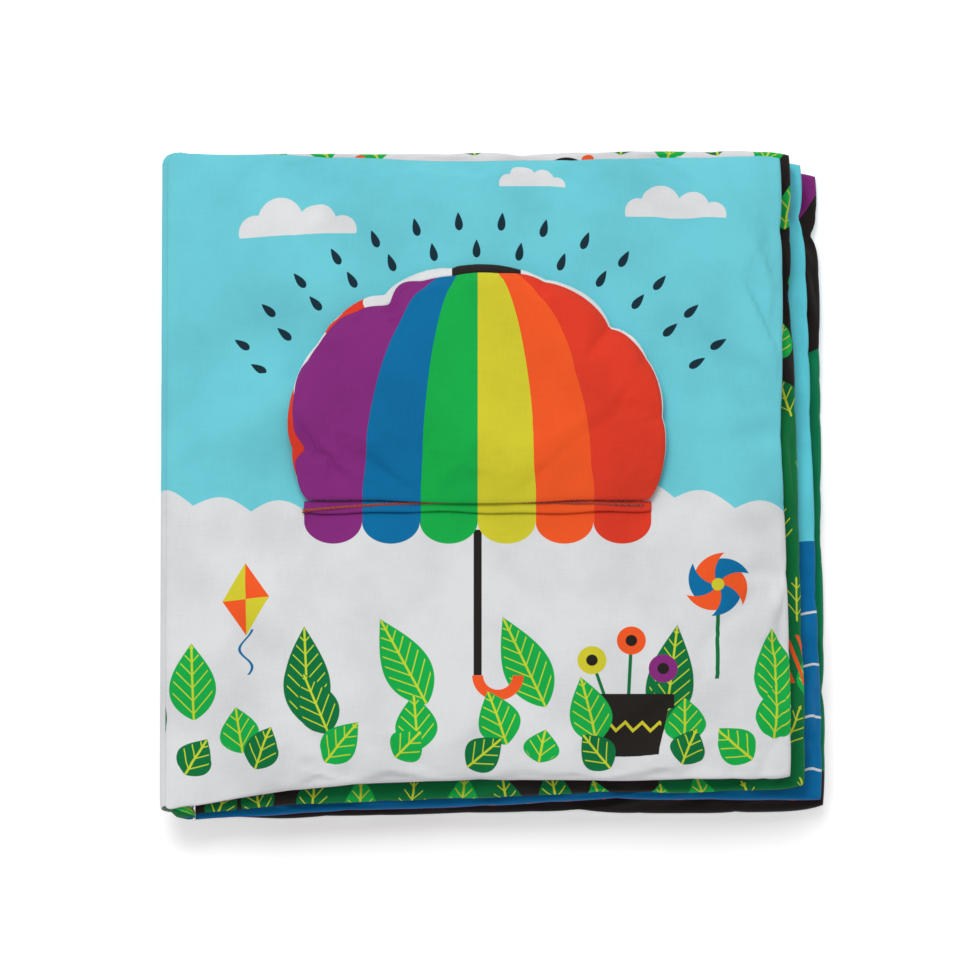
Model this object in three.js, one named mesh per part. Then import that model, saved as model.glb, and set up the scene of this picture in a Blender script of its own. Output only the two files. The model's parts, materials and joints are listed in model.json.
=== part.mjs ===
// A crinkle cloth book: four padded cloth leaves that turn on one soft spine, with a puffy
// lift-up flap sewn to the front cover. The book lies on its back cover. Millimetres, +Z up,
// +X from the spine to the fore edge, +Y towards the head of the page. The origin is at the
// middle of the book's footprint, on the surface that it lies on.
import * as THREE from 'three';
import { mergeVertices } from 'three/addons/utils/BufferGeometryUtils.js';

// The whole book
const bookWidth = 229.5;
const spineLength = 237;
const leafPitch = 8.3;
const gap = 0.3;

// What each leaf is made of
const clothThickness = 0.6;
const filmThickness = 0.3;
const seamThickness = 1.5;
const crownRun = 22;
const flatCut = 0.5;

// The spine: a cloth tube round a rolled fold, held by one line of stitching. The leaves fan
// out from it at these angles in degrees, and the cover's cloth goes on round its far side.
const spineRadius = 6;
const spineEndRound = 1.2;
const spineSides = 28;
const fanAngles = [-45, -22.5, 0, 32];
const coverWrapAngles = [130, 110, 90];
const rampRun = 35;
const stitchBore = 1;
const stitchDiameter = 0.5;
const stitchSway = 0.25;
const stitchWaves = 16;

// The leaves from the bottom up. Each stops short of the book's full width at the head and
// tail ends of its fore edge, and short of the spine's ends along its head and tail.
const leaves = [
  { name: 'back_cover', foreHeadShort: 1.15, foreTailShort: -0.8, headShort: 2.3, tailShort: 2.8,
    front: 0x141414, back: 0x6ccbd9 },
  { name: 'second_page', foreHeadShort: 4.45, foreTailShort: 0, headShort: 0.9, tailShort: 3.7,
    front: 0x50bccd, back: 0x7d2c86 },
  { name: 'first_page', foreHeadShort: 9.45, foreTailShort: 4.95, headShort: 0.2, tailShort: 5.2,
    front: 0x007d3c, back: 0x141414 },
  { name: 'front_cover', foreHeadShort: 12.45, foreTailShort: 9.45, headShort: 2.7, tailShort: 7,
    front: 0x6ccbd9, back: 0x7d2c86 },
];
const sideDraw = 1;
const cornerDraw = 1.5;
const flareRun = 80;
const flareShare = 2.2;
const cornerPowerShare = 8;

// Where the lines of a leaf's mesh run, close together where the cloth curves
const rampShares = [0.16, 0.4, 0.7, 1];
const fieldShares = [0.35, 0.72, 0.88, 0.955, 0.985, 1];
const riseShares = [0, 0.014, 0.045, 0.1, 0.3, 0.5, 0.7, 0.9, 0.955, 0.986, 1];

// The flap: a dome with a straight hinge edge, cut in six gores
const flapMiddle = -5;
const hingePlace = -12.4;
const hingeWidth = 117;
const flapShoulder = 22;
const shoulderShare = 0.7;
const flapHeight = 84;
const flapThickness = 8;
const flapCrownRun = 20;
const hingeCrownRun = 30;
const goreCount = 6;
const goreDip = 2;
const flapHalfShares = [0, 0.18, 0.366, 0.54, 0.707, 0.84, 0.95, 1];
const flapRiseShares = [0, 0.12, 0.3, 0.5, 0.707, 0.86, 0.95, 1];

// The hem that sews the flap down, and the overlock thread along it
const hemWidth = 4;
const hemThickness = 0.7;
const hemOverhang = 1.5;
const hemColumns = 14;
const threadDiameter = 0.5;
const threadGap = 0.15;
const threadMargin = 0.8;
const threadWaves = 22;
const threadStepsPerWave = 5;
const threadSides = 3;

// Heights and places worked out from the sizes above
const stackThickness = leaves.length * leafPitch - gap;
const axisHeight = stackThickness / 2;
const spineX = spineRadius - bookWidth / 2;
const spineReach = spineRadius + gap;
const leafReach = spineLength / 2 - clothThickness;
const rollRadius = spineRadius - clothThickness - gap;
const hingeRise = gap + hemThickness + threadGap + threadDiameter + gap + seamThickness / 2;
const flapLift = hingeRise - seamThickness / 2 - gap;

const { lerp, clamp, smoothstep, degToRad } = THREE.MathUtils;

const cloth = (color) => new THREE.MeshStandardMaterial({ color, roughness: 0.9, metalness: 0 });
const wadding = () => new THREE.MeshStandardMaterial({ color: 0xf4f3ee, roughness: 1, metalness: 0 });
const film = () => new THREE.MeshStandardMaterial({ color: 0xdfe6ea, roughness: 0.25, metalness: 0 });
const thread = (color) => new THREE.MeshStandardMaterial({ color, roughness: 0.7, metalness: 0 });

// A closed body of columns by rows cells, with an upper and a lower face that are cut along
// the same diagonals, and walls round its edge. A rule gets the column, the row and whether
// the corner is on the upper face, and sets the corner's place.
function shapedBody(columns, rows, place) {
  const point = new THREE.Vector3();
  const corners = [];
  const faces = [];
  const layerSize = (columns + 1) * (rows + 1);
  const cornerAt = (column, row, isUpper) => (isUpper ? layerSize : 0) + row * (columns + 1) + column;
  for (const isUpper of [false, true]) {
    for (let row = 0; row <= rows; row += 1) {
      for (let column = 0; column <= columns; column += 1) {
        place(column, row, isUpper, point);
        corners.push(point.x, point.y, point.z);
      }
    }
  }
  for (let row = 0; row < rows; row += 1) {
    for (let column = 0; column < columns; column += 1) {
      const cell = (isUpper) => [
        cornerAt(column, row, isUpper), cornerAt(column + 1, row, isUpper),
        cornerAt(column + 1, row + 1, isUpper), cornerAt(column, row + 1, isUpper)];
      const [a, b, c, d] = cell(true);
      faces.push(a, b, c, a, c, d);
      const [e, f, g, h] = cell(false);
      faces.push(e, g, f, e, h, g);
    }
  }
  const wall = (from, to) => {
    const [a, b] = [cornerAt(...from, false), cornerAt(...to, false)];
    const [c, d] = [cornerAt(...to, true), cornerAt(...from, true)];
    faces.push(a, b, c, a, c, d);
  };
  for (let column = 0; column < columns; column += 1) {
    wall([column, 0], [column + 1, 0]);
    wall([column + 1, rows], [column, rows]);
  }
  for (let row = 0; row < rows; row += 1) {
    wall([columns, row], [columns, row + 1]);
    wall([0, row + 1], [0, row]);
  }
  const body = new THREE.BufferGeometry();
  body.setAttribute('position', new THREE.Float32BufferAttribute(corners, point.toArray().length));
  body.setIndex(faces);
  return body;
}

function namedMesh(name, geometry, material) {
  const mesh = new THREE.Mesh(geometry, material);
  mesh.name = name;
  return mesh;
}

// How full a padded edge is at a distance in from its seam: nothing at the seam, then a
// quarter of an ellipse up to full thickness
function crown(distance, run) {
  const share = clamp(distance / run, 0, 1);
  return Math.sqrt(1 - (1 - share) ** 2);
}

// Two crowns that meet at a corner, as thin as the thinner one
const cornerCrown = (one, other) => 1 / Math.sqrt(1 / one ** 2 + 1 / other ** 2 - 1);

// Leaves. Each is a pillow between two heights that fan out from the spine: a back panel and
// a front panel of cloth, sewn together on three sides, round wadding and a crinkle film.
// Heights and reaches are measured from the spine's axis.
const climb = (reach) => smoothstep(reach, spineReach, spineReach + rampRun);
const flare = (reach) => (1 - clamp((reach - spineReach) / flareRun, 0, 1)) ** flareShare;
const spineHeights = [
  ...fanAngles.map((angle) => spineReach * Math.sin(degToRad(angle))),
  spineReach + clothThickness + gap / 2,
];
const levelHeight = (level, reach) => lerp(
  spineHeights[level], (level - leaves.length / 2) * leafPitch, climb(reach));

const columnReaches = (foreEdge) => [
  spineReach,
  ...rampShares.map((share) => spineReach + share * rampRun),
  ...fieldShares.map((share) => lerp(spineReach + rampRun, foreEdge, share)),
];
const lastColumn = rampShares.length + fieldShares.length;
const lastRow = riseShares.length - 1;

function leafSurface(leaf, order, column, row) {
  const rise = riseShares[row];
  const side = 2 * rise - 1;
  const foreEdge = bookWidth - spineRadius - lerp(leaf.foreTailShort, leaf.foreHeadShort, rise)
    - sideDraw * (1 - side ** 2) - cornerDraw * side ** cornerPowerShare;
  const reach = columnReaches(foreEdge)[column];

  const along = reach / foreEdge;
  const draw = 4 * sideDraw * along * (1 - along) + cornerDraw * along ** cornerPowerShare;
  const headEdge = lerp(spineLength / 2 - leaf.headShort, leafReach, flare(reach)) - draw;
  const tailEdge = lerp(leaf.tailShort - spineLength / 2, -leafReach, flare(reach)) + draw;
  const y = lerp(tailEdge, headEdge, rise);

  const fullness = cornerCrown(
    crown(foreEdge - reach, crownRun), crown(Math.min(headEdge - y, y - tailEdge), crownRun));
  const low = levelHeight(order, reach) + gap / 2;
  const high = levelHeight(order + 1, reach) - gap / 2;
  const half = lerp(seamThickness, high - low, fullness) / 2;
  const middle = (low + high) / 2;
  const isLowest = order === 0;
  const underside = isLowest ? Math.max(middle - half - flatCut * climb(reach), -axisHeight)
    : middle - half;
  return { reach, y, low: underside, high: middle + half };
}

const layersIn = {
  front_panel: ({ high }) => [high - clothThickness, high],
  crinkle_film: ({ high }) => [high - clothThickness - gap - filmThickness, high - clothThickness - gap],
  wadding: ({ low, high }) => [low + clothThickness + gap,
    high - clothThickness - gap - filmThickness - gap],
  back_panel: ({ low }) => [low, low + clothThickness],
};

// The panels reach the seams. The inner layers stop one mesh line short of them, and two
// lines short of the spine, where the leaf has to fold.
const isPanel = (layer) => layer.endsWith('panel');
const seamInset = (layer) => (isPanel(layer) ? 0 : 1);
const spineInset = (layer) => (isPanel(layer) ? 0 : 2);
const materialOf = (layer, owner) => ({
  front_panel: () => cloth(owner.front),
  back_panel: () => cloth(owner.back),
  wadding,
  crinkle_film: film,
}[layer]());

function leafLayer(leaf, order, layer) {
  const wrapsSpine = order === leaves.length - 1 && layer === 'front_panel';
  const wrap = wrapsSpine ? coverWrapAngles.map(degToRad) : [];
  const firstColumn = wrapsSpine ? 1 : spineInset(layer);
  const columns = wrap.length + lastColumn - seamInset(layer) - firstColumn;
  const inset = seamInset(layer);
  return shapedBody(columns, lastRow - 2 * inset, (step, row, isUpper, point) => {
    const angle = wrap[step];
    const isWrapped = angle !== undefined;
    const column = isWrapped ? 0 : firstColumn + step - wrap.length;
    const surface = leafSurface(leaf, order, column, row + inset);
    const z = layersIn[layer](surface)[isUpper ? 1 : 0];
    const wrapRadius = spineReach + (isUpper ? clothThickness : 0);
    if (isWrapped) {
      point.set(wrapRadius * Math.cos(angle), surface.y, wrapRadius * Math.sin(angle));
    } else if (column === 0) {
      point.set(Math.sqrt(spineReach ** 2 - z ** 2), surface.y, z);
    } else {
      point.set(surface.reach, surface.y, z);
    }
  });
}

function makeLeaf(leaf, order) {
  const group = new THREE.Group();
  group.position.set(spineX, 0, axisHeight);
  for (const layer of Object.keys(layersIn)) {
    group.add(namedMesh(`${leaf.name}_${layer}`, leafLayer(leaf, order, layer), materialOf(layer, leaf)));
  }
  return group;
}

// Spine. The cover cloth goes round it as a tube, and the folded inner pages are rolled up
// inside it, pierced along the middle for the binding stitches.
function sleeve(outer, bore, length, round) {
  const end = length / 2;
  const profile = [
    [bore, -end], [outer - round, -end], [outer, round - end],
    [outer, end - round], [outer - round, end], [bore, end], [bore, -end],
  ].map(([x, y]) => new THREE.Vector2(x, y));
  const geometry = new THREE.LatheGeometry(profile, spineSides);
  geometry.deleteAttribute('normal');
  geometry.deleteAttribute('uv');
  return mergeVertices(geometry);
}

// A thread that sways from side to side along a straight run
class SwayingRun extends THREE.Curve {
  constructor(start, end, sideways, waves) {
    super();
    Object.assign(this, { start, end, sideways, waves });
  }

  getPoint(share, target = new THREE.Vector3()) {
    const swing = Math.sin(share * this.waves * 2 * Math.PI);
    return target.lerpVectors(this.start, this.end, share).addScaledVector(this.sideways, swing);
  }
}

function threadAlong(curve, diameter, steps) {
  const corners = Array.from({ length: threadSides }, (_, index) => {
    const angle = (index / threadSides) * 2 * Math.PI;
    return new THREE.Vector2(Math.cos(angle), Math.sin(angle)).multiplyScalar(diameter / 2);
  });
  const geometry = new THREE.ExtrudeGeometry(new THREE.Shape(corners), { steps, extrudePath: curve });
  geometry.deleteAttribute('normal');
  geometry.deleteAttribute('uv');
  return mergeVertices(geometry);
}

function makeSpine() {
  const group = new THREE.Group();
  group.position.set(spineX, 0, axisHeight);
  const rollLength = spineLength - 2 * clothThickness;
  const coverBore = spineRadius - clothThickness;
  const runEnd = rollLength / 2 - gap;
  const run = new SwayingRun(new THREE.Vector3(0, -runEnd, 0), new THREE.Vector3(0, runEnd, 0),
    new THREE.Vector3(0, 0, stitchSway), stitchWaves);
  group.add(
    namedMesh('spine_cover', sleeve(spineRadius, coverBore, spineLength, clothThickness / 2),
      cloth(0x6ccbd9)),
    namedMesh('spine_inner_fold', sleeve(rollRadius, stitchBore, rollLength, spineEndRound),
      cloth(0x50bccd)),
    namedMesh('spine_stitching', threadAlong(run, stitchDiameter, stitchWaves * threadStepsPerWave),
      thread(0xf2f2f0)),
  );
  return group;
}

// Flap. A half disc widened towards its crown, with a dip in its edge at each gore seam. It
// is thin at the hinge, where it folds, and lies on the cover everywhere else.
const flapOutline = (x, y) => new THREE.Vector2(
  x * (hingeWidth / 2 + flapShoulder * y ** shoulderShare), y * flapHeight);

const flapAcrossShares = [
  ...flapHalfShares.slice(1).reverse().map((share) => -share), ...flapHalfShares];

function flapSurface(column, row) {
  const square = new THREE.Vector2(flapAcrossShares[column], flapRiseShares[row]);
  const x = square.x * Math.sqrt(1 - square.y ** 2 / 2);
  const y = square.y * Math.sqrt(1 - square.x ** 2 / 2);
  const radius = Math.hypot(x, y) || 1;
  const edge = flapOutline(x / radius, y / radius).length();
  const dip = goreDip * radius ** 2 * (1 - Math.abs(Math.sin(goreCount * Math.atan2(y, x))));
  const spot = flapOutline(x, y).multiplyScalar(1 - dip / flapHeight);
  const fromHinge = Math.sin(clamp(spot.y / hingeCrownRun, 0, 1) * Math.PI / 2);
  const fromEdge = crown((1 - Math.hypot(x, y)) * edge, flapCrownRun);
  const fullness = cornerCrown(fromHinge, fromEdge);
  const low = gap + flapLift * (1 - fullness);
  return { spot, low, high: low + lerp(seamThickness, flapThickness, fullness) };
}

function flapLayer(layer) {
  const inset = seamInset(layer);
  const columns = flapAcrossShares.length - 1 - 2 * inset;
  const rows = flapRiseShares.length - 1 - 2 * inset;
  return shapedBody(columns, rows, (column, row, isUpper, point) => {
    const surface = flapSurface(column + inset, row + inset);
    const [low, high] = layersIn[layer](surface);
    point.set(surface.spot.x, surface.spot.y, isUpper ? high : low);
  });
}

function makeFlap() {
  const group = new THREE.Group();
  group.position.set(flapMiddle, hingePlace, stackThickness);
  const colours = { front: 0xf35a23, back: 0xe3e6e6 };
  for (const layer of Object.keys(layersIn)) {
    group.add(namedMesh(`peekaboo_flap_${layer}`, flapLayer(layer), materialOf(layer, colours)));
  }
  return group;
}

// Hem. The flap's seam allowance, sewn flat to the front cover just below the hinge line, and
// the overlock thread that runs to and fro across it.
function makeHem() {
  const group = new THREE.Group();
  group.position.set(flapMiddle, hingePlace, stackThickness + gap);
  const hemLength = hingeWidth + 2 * hemOverhang;
  const strip = new THREE.BoxGeometry(hemLength, hemWidth, hemThickness, hemColumns, 1, 1);
  strip.translate(0, -hemWidth / 2, hemThickness / 2);
  const threadHeight = hemThickness + threadGap + threadDiameter / 2;
  const runEnd = hemLength / 2 - threadMargin;
  const run = new SwayingRun(
    new THREE.Vector3(-runEnd, -hemWidth / 2, threadHeight),
    new THREE.Vector3(runEnd, -hemWidth / 2, threadHeight),
    new THREE.Vector3(0, hemWidth / 2 - threadMargin, 0), threadWaves);
  group.add(
    namedMesh('flap_hem', strip, cloth(0xf35a23)),
    namedMesh('flap_overlock_thread',
      threadAlong(run, threadDiameter, threadWaves * threadStepsPerWave), thread(0xc84b2d)),
  );
  return group;
}

const book = new THREE.Group();
book.name = 'crinkle_cloth_book';
book.add(...leaves.map(makeLeaf), makeSpine(), makeFlap(), makeHem());

export default book;
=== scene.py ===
"""A crinkle cloth book for babies, lying closed: four padded cloth leaves on a soft spine,
with a puffy rainbow flap on the front cover that lifts about its hem."""

import json
import math
import random

import bmesh
import bpy
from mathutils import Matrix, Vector, noise


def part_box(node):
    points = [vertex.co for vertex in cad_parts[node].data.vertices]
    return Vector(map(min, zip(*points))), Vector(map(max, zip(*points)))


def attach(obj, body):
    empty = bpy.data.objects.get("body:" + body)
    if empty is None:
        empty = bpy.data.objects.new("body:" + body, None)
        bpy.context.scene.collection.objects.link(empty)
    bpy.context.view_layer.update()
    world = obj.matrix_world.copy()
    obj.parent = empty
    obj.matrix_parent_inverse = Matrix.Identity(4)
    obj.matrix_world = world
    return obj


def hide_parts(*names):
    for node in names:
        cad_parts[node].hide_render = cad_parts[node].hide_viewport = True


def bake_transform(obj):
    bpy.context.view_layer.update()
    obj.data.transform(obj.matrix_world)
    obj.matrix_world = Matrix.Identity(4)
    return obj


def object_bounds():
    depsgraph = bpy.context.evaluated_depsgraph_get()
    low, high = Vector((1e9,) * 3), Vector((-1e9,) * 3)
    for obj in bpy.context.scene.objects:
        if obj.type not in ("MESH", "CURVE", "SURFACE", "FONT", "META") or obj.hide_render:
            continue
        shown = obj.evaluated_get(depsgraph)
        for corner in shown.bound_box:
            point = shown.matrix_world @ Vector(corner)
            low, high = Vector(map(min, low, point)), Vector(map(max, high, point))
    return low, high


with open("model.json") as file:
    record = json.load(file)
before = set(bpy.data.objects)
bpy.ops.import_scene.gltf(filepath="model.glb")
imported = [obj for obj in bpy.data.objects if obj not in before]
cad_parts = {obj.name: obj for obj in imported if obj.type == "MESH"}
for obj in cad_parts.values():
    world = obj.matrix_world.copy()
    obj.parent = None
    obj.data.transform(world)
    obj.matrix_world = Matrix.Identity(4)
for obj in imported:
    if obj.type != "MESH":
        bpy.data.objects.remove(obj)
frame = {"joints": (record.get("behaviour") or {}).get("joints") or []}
cad_low, cad_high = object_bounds()
MM = 0.001

# Camera
# The photograph looks down on the closed book from just past its lower edge, through a long
# lens, so that the cover shows nearly square and the leaves below it peek out on the right.
camera_elevation = math.radians(75)
camera_distance = 7.41
camera_target = Vector((-4.2, 4.2, 0)) * MM
camera_back = Vector((0, -math.cos(camera_elevation), math.sin(camera_elevation)))

camera_data = bpy.data.cameras.new("camera")
camera_data.lens = 800
camera_data.sensor_width = 36
camera = bpy.data.objects.new("camera", camera_data)
camera.location = camera_target + camera_back * camera_distance
camera.rotation_euler = (-camera_back).to_track_quat("-Z", "Y").to_euler()
bpy.context.scene.collection.objects.link(camera)
bpy.context.scene.camera = camera

# Light
# Soft studio light: an even white room, and one wide lamp past the head of the book that
# leaves the slopes facing the reader a little darker. Together they light a colour as written.
room_level = 0.595
lamp_width = 1.1
lamp_place = Vector((-0.35, 0.75, 1.75))
lamp_share = 0.5

bpy.context.scene.view_settings.view_transform = "Standard"
lamp_data = bpy.data.lights.new("lamp", "AREA")
lamp_data.size = lamp_width
lamp_data.energy = lamp_share * math.pi ** 2 * lamp_place.length_squared
lamp = bpy.data.objects.new("lamp", lamp_data)
lamp.location = lamp_place
lamp.rotation_euler = (-lamp_place).to_track_quat("-Z", "Y").to_euler()
bpy.context.scene.collection.objects.link(lamp)


class Wire:
    """A socket in a finish. Sums and products of wires add the Math nodes that work them out."""

    def __init__(self, tree, socket=None):
        self.tree = tree
        self.socket = socket

    def node(self, kind, settings, inputs, output=0):
        """Adds a node, sets it up, fills or links its sockets, and gives one of its outputs."""
        made = self.tree.nodes.new(kind)
        for name, value in settings.items():
            if name == "stops":
                ramp = made.color_ramp
                ramp.interpolation = "CONSTANT"
                for place, colour in value[2:]:
                    ramp.elements.new(place)
                for element, (place, colour) in zip(ramp.elements, value):
                    element.position = place
                    element.color = colour
            else:
                setattr(made, name, value)
        for place, value in inputs.items():
            if isinstance(value, Wire):
                self.tree.links.new(value.socket, made.inputs[place])
            else:
                made.inputs[place].default_value = value
        return Wire(self.tree, made.outputs[output])

    def math(self, operation, *values, clamp=False):
        settings = {"operation": operation, "use_clamp": clamp}
        return self.node("ShaderNodeMath", settings, dict(enumerate((self, *values))))

    def __add__(self, other):
        return self.math("ADD", other)

    def __sub__(self, other):
        return self.math("SUBTRACT", other)

    def __rsub__(self, other):
        return self.node("ShaderNodeMath", {"operation": "SUBTRACT"}, {0: other, 1: self})

    def __mul__(self, other):
        return self.math("MULTIPLY", other)

    def __truediv__(self, other):
        return self.math("DIVIDE", other)

    __radd__ = __add__
    __rmul__ = __mul__

    def __abs__(self):
        return self.math("ABSOLUTE")

    def __pow__(self, power):
        return self.math("POWER", power)

    def between(self, below, above):
        """A colour that goes from one below to one above as this mask goes from 0 to 1."""
        return self.node("ShaderNodeMix", {"data_type": "RGBA"}, {0: self, 6: below, 7: above}, 2)

    def shaded(self, colour, shade):
        """A colour that is multiplied by a shade where this mask is 1."""
        settings = {"data_type": "RGBA", "blend_type": "MULTIPLY"}
        return self.node("ShaderNodeMix", settings, {0: self, 6: colour, 7: shade}, 2)

    def streaks(self, along, width, length):
        """Noise from 0 to 1 drawn out along one of two directions, as the yarns of a cloth are."""
        place = self.node("ShaderNodeCombineXYZ", {}, {0: self / width, 1: along / length})
        return self.node("ShaderNodeTexNoise", {}, {"Vector": place, "Scale": 1, "Detail": 1})


def direct_view(tree):
    """1 for what the camera sees, by itself or in a reflection, and 0 for what only lights."""
    seen = Wire(tree).node("ShaderNodeLightPath", {}, {}, "Is Camera Ray")
    for kind in ("Is Glossy Ray", "Is Transmission Ray"):
        seen = seen.math("ADD", seen.node("ShaderNodeLightPath", {}, {}, kind), clamp=True)
    return seen


# The room shows white wherever the camera or a reflection sees it.
room = bpy.data.worlds.new("room")
room.use_nodes = True
bpy.context.scene.world = room
room_tree = room.node_tree
room_strength = direct_view(room_tree) * (1 - room_level) + room_level
room_tree.links.new(room_strength.socket, room_tree.nodes["Background"].inputs["Strength"])
room_tree.nodes["Background"].inputs["Color"].default_value = (1, 1, 1, 1)

# Floor
# A wide sheet of matt white paper. It takes the book's soft shadow, and a faint lift for the
# camera alone keeps the rest of it white.
floor_width = 8
floor_lift = 0.3

bm = bmesh.new()
bmesh.ops.create_grid(bm, x_segments=1, y_segments=1, size=floor_width / 2)
floor_mesh = bpy.data.meshes.new("floor")
bm.to_mesh(floor_mesh)
bm.free()
floor = bpy.data.objects.new("floor", floor_mesh)
bpy.context.scene.collection.objects.link(floor)

paper = bpy.data.materials.new("paper")
paper.use_nodes = True
paper_tree = paper.node_tree
paper_shader = paper_tree.nodes["Principled BSDF"]
paper_shader.inputs["Roughness"].default_value = 1
paper_shader.inputs["Specular IOR Level"].default_value = 0
paper_seen = direct_view(paper_tree)
paper_fibre = paper_seen.node("ShaderNodeTexNoise", {}, {"Scale": 40, "Detail": 3})
paper_colour = paper_fibre.between((0.9, 0.9, 0.9, 1), (0.93, 0.93, 0.93, 1))
paper_tree.links.new(paper_colour.socket, paper_shader.inputs["Base Color"])
paper_lift = paper_seen.between((0, 0, 0, 1), (floor_lift, floor_lift, floor_lift, 1))
paper_tree.links.new(paper_lift.socket, paper_shader.inputs["Emission Color"])
paper_shader.inputs["Emission Strength"].default_value = 1
floor.data.materials.append(paper)


# Front cover
# The uppermost leaf: two panels of printed cotton sewn face to face on three sides, turned
# right way out over wadding and a crackling film, and caught in the spine on the fourth.
def mix(start, end, share):
    return start + (end - start) * share


def held(value, low=0.0, high=1.0):
    return min(max(value, low), high)


def eased(share):
    share = held(share)
    return share * share * (3 - 2 * share)


def crowded(share, crowding=0.75):
    """Moves an even run of shares closer together towards both its ends, where cloth turns."""
    side = 2 * share - 1
    return 0.5 + 0.5 * ((1 - crowding) * side + crowding * math.sin(math.pi / 2 * side))


def crown(distance, run):
    """How full a padded edge is at a distance in from its seam, as a quarter of an ellipse."""
    return math.sqrt(1 - (1 - held(distance / run)) ** 2)


def meeting(one, other):
    """Two crowns that meet at a corner, as thin as the thinner one."""
    one, other = max(one, 1e-4), max(other, 1e-4)
    return 1 / math.sqrt(1 / one ** 2 + 1 / other ** 2 - 1)


spine_low, spine_high = (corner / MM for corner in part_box("spine_cover"))
hinge_low, hinge_high = (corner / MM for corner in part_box("flap_hem"))
pressed_line = (hinge_low.y + hinge_high.y) / 2
spine_axis = (spine_low + spine_high) / 2
spine_radius = (spine_high.x - spine_low.x) / 2
spine_length = spine_high.y - spine_low.y
book_width = cad_high.x / MM - spine_low.x
stack_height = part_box("front_cover_front_panel")[1].z / MM
clearance = 0.3
leaf_pitch = (stack_height + clearance) / 4
cloth_thickness = 0.25
spine_reach = spine_radius + clearance
cover_rise = 0.6
fan_angles = (-45, -22.5, 0, 32)
spine_heights = [spine_reach * math.sin(math.radians(angle)) for angle in fan_angles]
spine_heights.append(spine_reach + cover_rise + clearance / 2)
ramp_run = 35
crown_run = 17
rim_half = 0.2
droop = 1.1
corner_draw = 1.5
corner_power = 8
tip_draw = 1.6
tip_power = 45
flare_run = 115
flare_power = 2.2
lift_start = 80
lift_run = 85
swell_width = 30
swell_depth = 0.3
wave_width = 26
wave_depth = 2.4
pucker_fade = 11
pucker_depth = 0.62
pressed_run = 9
leaf_columns = 128
leaf_rows = 144
leaf_growth = 0.025
leaf_swell = 1.6
leaf_sink = 0.7
first_puckers = (14, 30)
pucker_spacing = (13, 34)
pucker_depths = (0.15, 0.6)
pucker_widths = (2.5, 6)
last_pucker = 12

pillow_frames = 20
pillow_pressure = 4
seam_cells = 4


def between_points(values):
    """Puts a smooth value between each two of a row of values."""
    finer = [values[0]]
    for place in range(1, len(values)):
        before, after = values[max(place - 2, 0)], values[min(place + 1, len(values) - 1)]
        near = values[place - 1] + values[place]
        finer.append(near * (9 / 16) - (before + after) * (1 / 16))
        finer.append(values[place])
    return finer


def pillow_moves(places, columns, rows, growth, swell, sink):
    """Sews two sheets of cloth into a pillow, blows it up as a cloth simulation, and gives how far
    each point of the two sheets moved, in millimetres, on a grid twice as fine. Its seam is held,
    and the cloth grows by a share, as cloth is longer than the seam that it is gathered on."""
    bm = bmesh.new()
    found = {}
    for side, place in enumerate(places):
        made = bmesh.ops.create_grid(bm, x_segments=columns, y_segments=rows, size=0.5)["verts"]
        if side == 1:
            faces = {face for vert in made for face in vert.link_faces}
            bmesh.ops.reverse_faces(bm, faces=list(faces))
        for vert in made:
            column, row = round((vert.co.x + 0.5) * columns), round((vert.co.y + 0.5) * rows)
            vert.co = Vector(place(column / columns, row / rows)) * MM
            found[side, column, row] = vert
    seam = {}
    for column in range(columns + 1):
        for row in range(rows + 1):
            if column in (0, columns) or row in (0, rows):
                upper, lower = found[0, column, row], found[1, column, row]
                upper.co = (upper.co + lower.co) / 2
                seam[lower] = upper
                found[1, column, row] = upper
    bmesh.ops.weld_verts(bm, targetmap=seam)
    bm.verts.index_update()
    order = {key: vert.index for key, vert in found.items()}
    held_points = sorted({vert.index for vert in seam.values()})
    mesh = bpy.data.meshes.new("pillow")
    bm.to_mesh(mesh)
    bm.free()
    pillow = bpy.data.objects.new("pillow", mesh)
    bpy.context.scene.collection.objects.link(pillow)
    pillow.vertex_groups.new(name="held").add(held_points, 1, "REPLACE")

    cloth = pillow.modifiers.new("cloth", "CLOTH")
    cloth.settings.vertex_group_mass = "held"
    cloth.settings.use_pressure = True
    cloth.settings.uniform_pressure_force = pillow_pressure
    cloth.settings.shrink_min = -growth
    cloth.settings.effector_weights.gravity = 0
    for number in range(1, pillow_frames + 1):
        bpy.context.scene.frame_set(number)
    blown = pillow.evaluated_get(bpy.context.evaluated_depsgraph_get()).to_mesh()
    moved = [(after.co - before.co) / MM for before, after in zip(mesh.vertices, blown.vertices)]
    bpy.context.scene.frame_set(1)
    bpy.data.objects.remove(pillow)
    bpy.data.meshes.remove(mesh)

    moves = []
    for side in range(2):
        sheet = []
        for column in range(columns + 1):
            run = []
            for row in range(rows + 1):
                move = moved[order[side, column, row]]
                move = move * (swell / max(move.length, swell))
                move.z = max(move.z, -sink) if side == 0 else min(move.z, sink)
                from_seam = min(column, columns - column, row, rows - row)
                run.append(move * eased(from_seam / seam_cells))
            sheet.append(between_points(run))
        lines = [between_points([run[row] for run in sheet]) for row in range(2 * rows + 1)]
        moves.append([[line[column] for line in lines] for column in range(2 * columns + 1)])
    return moves


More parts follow.
